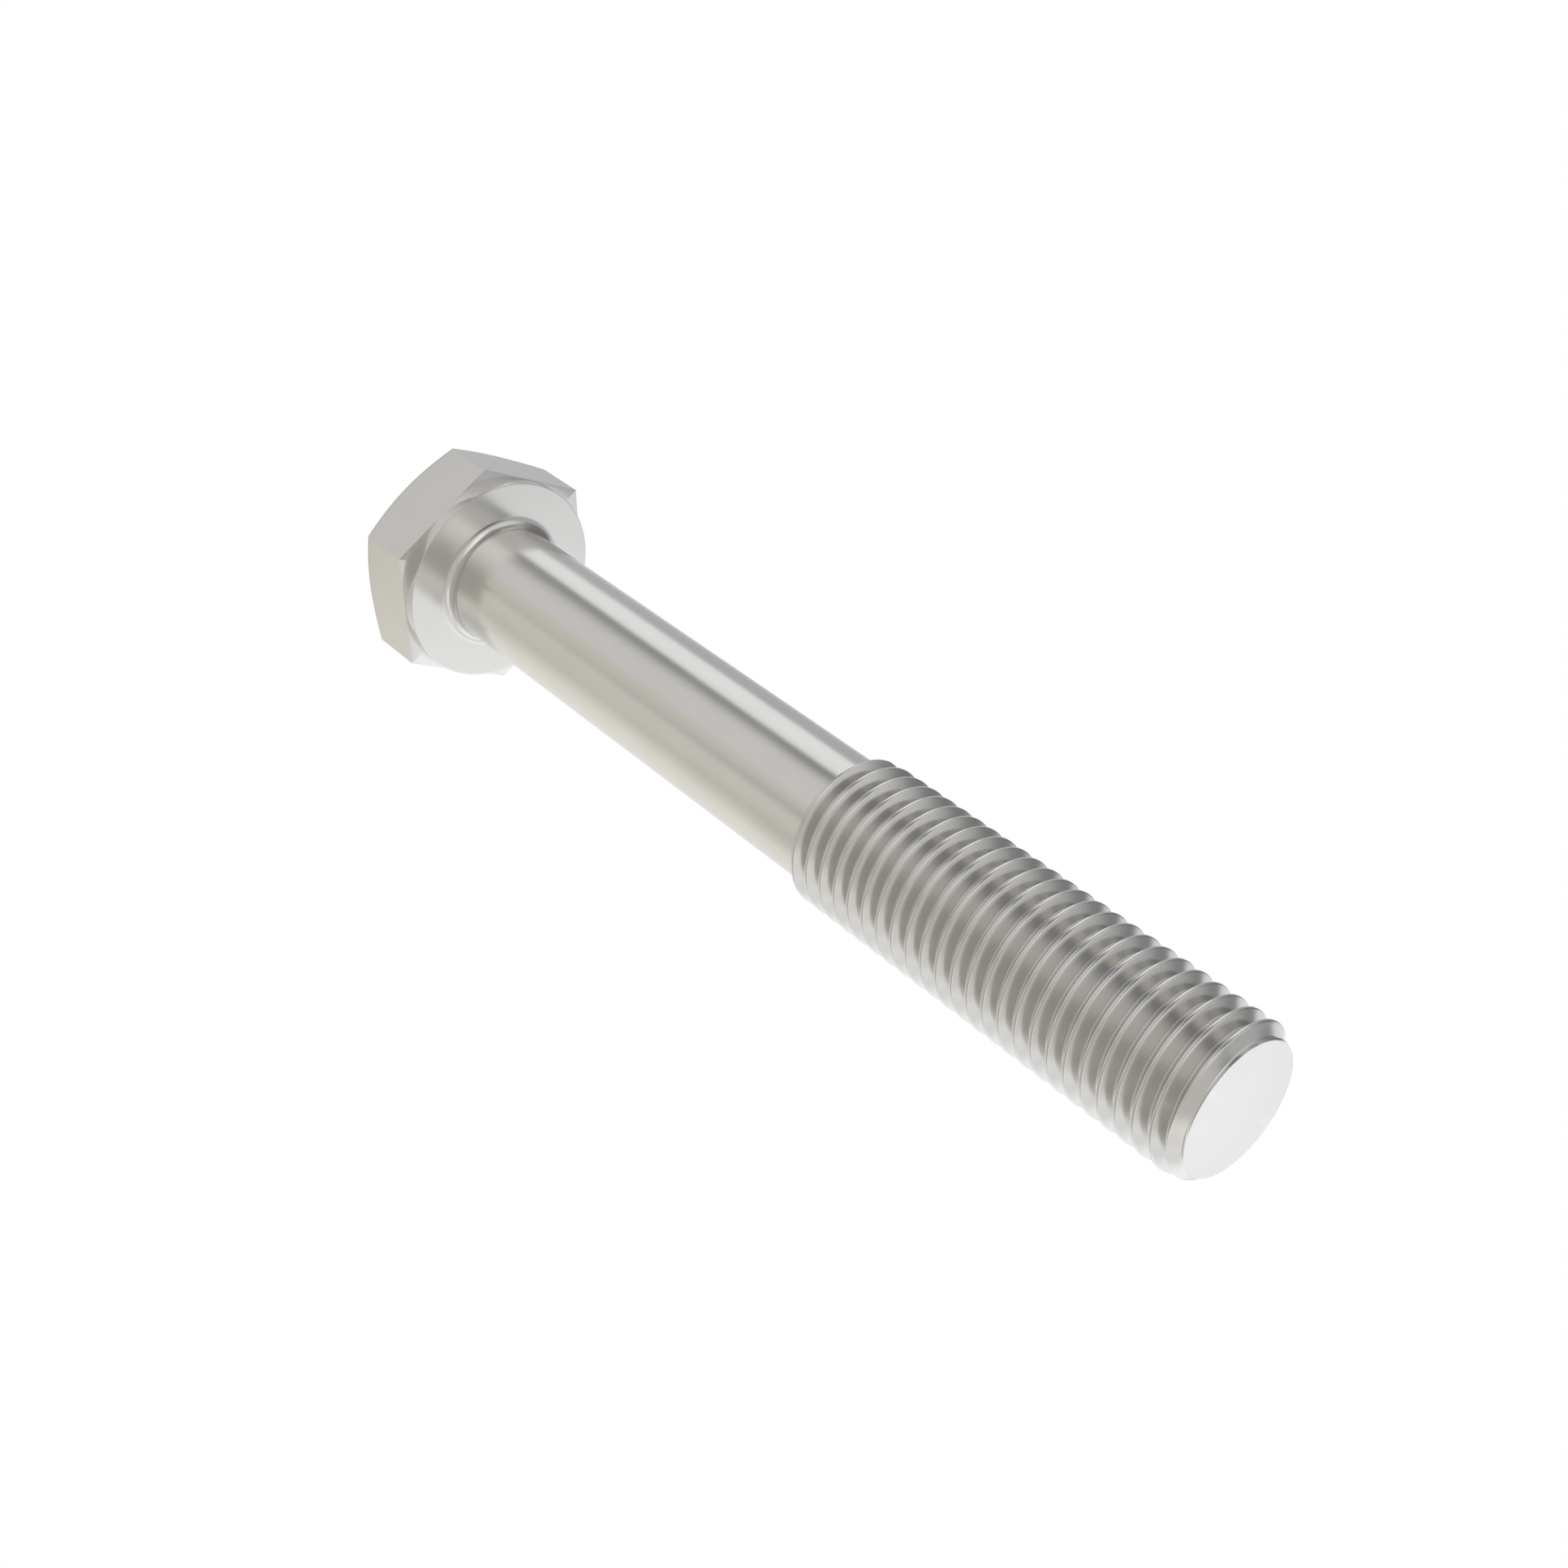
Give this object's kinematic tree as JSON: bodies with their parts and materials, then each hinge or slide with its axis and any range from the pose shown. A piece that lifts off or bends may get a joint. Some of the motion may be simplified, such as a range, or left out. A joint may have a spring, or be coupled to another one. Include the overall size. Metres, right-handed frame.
{
  "type": "hex bolt",
  "caption": "Hex head bolt with a washer face under the head, a reduced plain shank and a metric coarse thread, for clamping parts together through a clearance hole with a nut or a tapped hole",
  "frame": {"origin": "centre of the bearing face, the flat ring under the head that is clamped against the work", "axes": "+X runs along the bolt's axis from the bearing face to the threaded tip, so the head is on the -X side. +Z points through one corner of the hexagon and +Y is normal to one of its flats"},
  "size_m": [0.12, 0.024, 0.0278],
  "materials": {
    "steel": "bare bright steel, fine satin"
  },
  "bodies": {
    "root": {"hex_bolt": "steel"}
  },
  "joints": []
}
